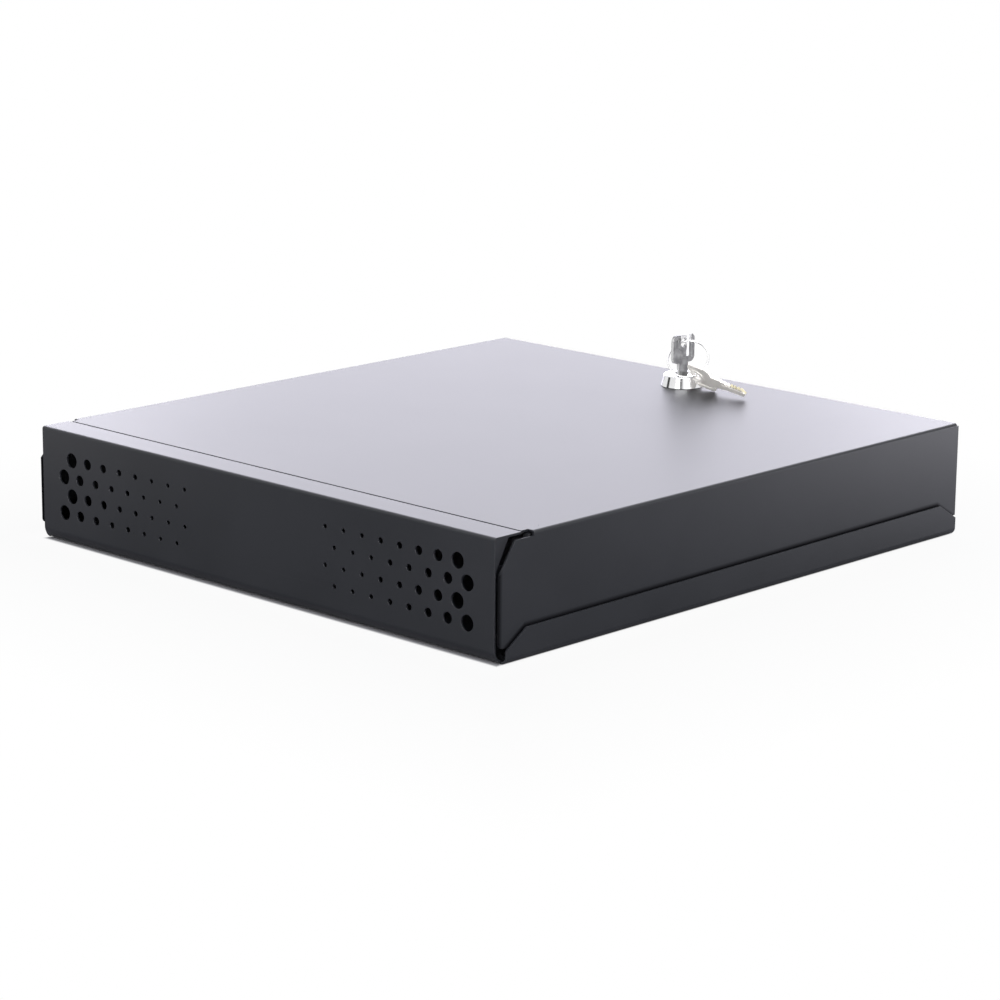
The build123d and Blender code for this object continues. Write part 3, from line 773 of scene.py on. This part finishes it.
def makeRivetRow(name, values, tree, ids):
    mesh = turnRivet(rivetRows[values["outline"]], rivetRows["sides"])
    if not values["upright"]:
        quarter = Matrix.Rotation(math.pi / 2, 3, "X")
        bmesh.ops.rotate(mesh, verts=mesh.verts, cent=(0, 0, 0), matrix=quarter)
    data = bpy.data.meshes.new(name + "Rivet")
    mesh.to_mesh(data)
    mesh.free()
    holder = bpy.data.objects.new(name + "Rivet", data)
    scene.collection.objects.link(holder)
    modifier = holder.modifiers.new("row", "NODES")
    modifier.node_group = tree
    modifier[ids["Count"]] = values["count"]
    modifier[ids["Start"]] = values["start"]
    modifier[ids["Step"]] = values["step"]
    modifier[ids["Finish"]] = finishOf(values["node"])
    row = bmesh.new()
    row.from_mesh(evaluatedMesh(holder))
    bpy.data.objects.remove(holder)
    standIn(name, row, values["node"], smoothBelow=35)


rivetTree, rivetSockets = rowTree()
for name, values in rivetRows["rows"].items():
    makeRivetRow(name, values, rivetTree, rivetSockets)
print("rivet rows made:", len(rivetRows["rows"]))

# Floor: its own colour lights the box from below, and the camera sees it as white past the shadow

stageFloor = {
    "corners": ((-9, -9), (9, -9), (9, 9), (-9, 9)),
    "drop": 0.0004,                        # under the box's underside
    "roughness": 0.9,
    "footprint": (0.223, 0.234),           # half of the box's width and depth
    "plain": (0.148, 0.153, 0.166, 1),
    "near": (0.26, 0.26, 0.275, 1),        # under the box: painted light, paler than the plain floor, for the box's folds to reflect
    "nearReach": (0.0, 0.02),              # past the footprint, where that ends and plain begins
    "glow": (0.36, 0.365, 0.38, 1),        # painted pool of light beside the rear half of the box's right side, which that side reflects
    "glowAcross": (0.10, 0.24),            # x over which it comes up
    "glowAlong": (-0.05, 0.30),            # and y
    "shadow": 0.05,                        # share of its own light that the camera sees by the box
    "shadowReach": (0.02, 0.22),           # past the footprint, where that starts to fade and is gone
    "contactSides": (-0.0060, -0.0032),    # past the footprint's sides, from all of it to that share
    "contactEnds": (-0.0023, 0.0006),      # and past its front and rear
}


def makeFloor(values):
    mesh = bpy.data.meshes.new("floor")
    mesh.from_pydata([(x, y, -values["drop"]) for x, y in values["corners"]], [], [(0, 1, 2, 3)])
    floor = bpy.data.objects.new("floor", mesh)
    scene.collection.objects.link(floor)
    finish = newFinish("whiteFloor", {"Roughness": values["roughness"], "Specular IOR Level": 0.0})
    folded = finish.vectorMath("ABSOLUTE", finish.place())
    beyond = finish.vectorMath("SUBTRACT", folded, (*values["footprint"], 0))
    sides, ends = finish.part(beyond, "X"), finish.part(beyond, "Y")
    away = sides.higher(ends)
    # painted light: the floor is paler by the box and in a patch beside its right side, which the box
    # reflects
    plain = finish.between(finish.spread(away, *values["nearReach"], 0, 1), values["near"], values["plain"])
    glowing = finish.spread(finish.along("X"), *values["glowAcross"], 0, 1)
    glowing = glowing * finish.spread(finish.along("Y"), *values["glowAlong"], 0, 1)
    finish.shade(baseColor=finish.between(glowing, plain, values["glow"]))
    contact = finish.spread(sides, *values["contactSides"], 1.0, values["shadow"])
    contact = contact.lower(finish.spread(ends, *values["contactEnds"], 1.0, values["shadow"]))
    fade = finish.spread(away, *values["shadowReach"], 1, 0)
    white = finish.add("ShaderNodeEmission", None, {"Color": (1, 1, 1, 1), "Strength": 1.0})
    finish.cover(finish.sight("Is Camera Ray", "Is Transmission Ray") * (1 - contact * fade), white)
    mesh.materials.append(finish.owner)


makeFloor(stageFloor)

# Sky: white to the camera, white with two dark cards in reflections, and dimmer as a light

studioSky = {
    "light": 0.5,
    "darkCards": (         # the direction, the cosines where it begins and is full, the white it takes
        ((0.465, -0.867, 0.178), (0.950, 0.985), 0.75),
        ((-0.685, -0.724, 0.082), (0.983, 0.993), 0.95),
    ),
}


def makeSky(values):
    world = bpy.data.worlds.new("studio")
    scene.world = world
    sky = Finish(world)
    seen = sky.sight("Is Camera Ray", "Is Transmission Ray", "Is Glossy Ray")
    strength = values["light"] + seen * (1 - values["light"])
    reflected = sky.sight("Is Glossy Ray")
    towards = sky.place("Generated")
    for direction, edge, taken in values["darkCards"]:
        facing = sky.vectorMath("DOT_PRODUCT", towards, direction, "Value")
        strength = strength * (1 - reflected * sky.spread(facing, *edge, 0, taken))
    background = sky.tree.nodes["Background"].inputs
    sky.feed(background["Color"], (1, 1, 1, 1))
    sky.feed(background["Strength"], strength)


makeSky(studioSky)

lamps = {                          # metres and watts
    "rearSoftbox": {"place": (-2.3, 2.4, 1.75), "aim": (0, 0, 0.05), "size": (5.0, 3.4),
                    "power": 185, "colour": (0.885, 0.872, 1.0)},
    "rearLeft": {"place": (-2.55, 0.93, 0.45), "aim": (0, 0, 0.05), "size": (1.4, 0.7),
                 "power": 16, "colour": (0.92, 0.90, 1.0)},
    "rearRight": {"place": (-0.81, 2.58, 0.45), "aim": (0, 0, 0.05), "size": (1.4, 0.7),
                  "power": 16, "colour": (0.92, 0.90, 1.0)},
    "rearGlow": {"place": (-0.64, 0.67, 0.20), "aim": (-0.1, 0.1, 0.08), "size": (1.0, 0.1),
                 "power": 0.50, "colour": (0.92, 0.90, 1.0)},
    "sideStrip": {"place": (0.47, 0.53, 0.025), "aim": (0.22, 0.23, 0.025), "size": (0.3, 0.04),
                  "power": 0.50, "colour": (0.94, 0.93, 1.0)},
    "frontStrip": {"place": (-0.50, -0.47, 0.025), "aim": (-0.22, -0.23, 0.025), "size": (0.3, 0.04),
                   "power": 0.12, "colour": (1.0, 0.97, 0.94)},
    "nearLeft": {"place": (1.0, -3.2, 0.75), "aim": (0, 0, 0.08), "size": (1.4, 1.2),
                 "power": 10, "colour": (0.98, 0.98, 1.0)},
    "nearRight": {"place": (3.3, -1.0, 0.75), "aim": (0, 0, 0.08), "size": (2.4, 1.4),
                  "power": 10, "colour": (0.98, 0.98, 1.0)},
    "highFill": {"place": (1.75, -1.95, 2.15), "aim": (0, 0.19, 0.09), "size": (4.0, 2.0),
                 "power": 100, "colour": (0.98, 0.98, 1.0)},
    "lowFill": {"place": (0.09, -1.47, 0.15), "aim": (0.04, 0.18, 0.09), "size": (0.5, 0.25),
                "power": 8, "colour": (0.99, 0.98, 1.0)},
    "sideFill": {"place": (1.57, -0.36, 0.18), "aim": (0.06, 0.18, 0.08), "size": (0.6, 0.3),
                 "power": 13, "colour": (0.99, 0.98, 1.0)},
}


def addLamp(name, lamp):
    data = bpy.data.lights.new(name, "AREA")
    data.shape = "RECTANGLE"
    data.size, data.size_y = lamp["size"]
    data.energy = lamp["power"]
    data.color = lamp["colour"]
    light = bpy.data.objects.new(name, data)
    away = Vector(lamp["place"]) - Vector(lamp["aim"])
    turn = away.to_track_quat("Z", "Y").to_matrix().to_4x4()
    light.matrix_world = Matrix.Translation(lamp["place"]) @ turn
    light.visible_camera = False
    scene.collection.objects.link(light)


for name, lamp in lamps.items():
    addLamp(name, lamp)
print("floor, sky and lamps set:", len(lamps), "lamps")
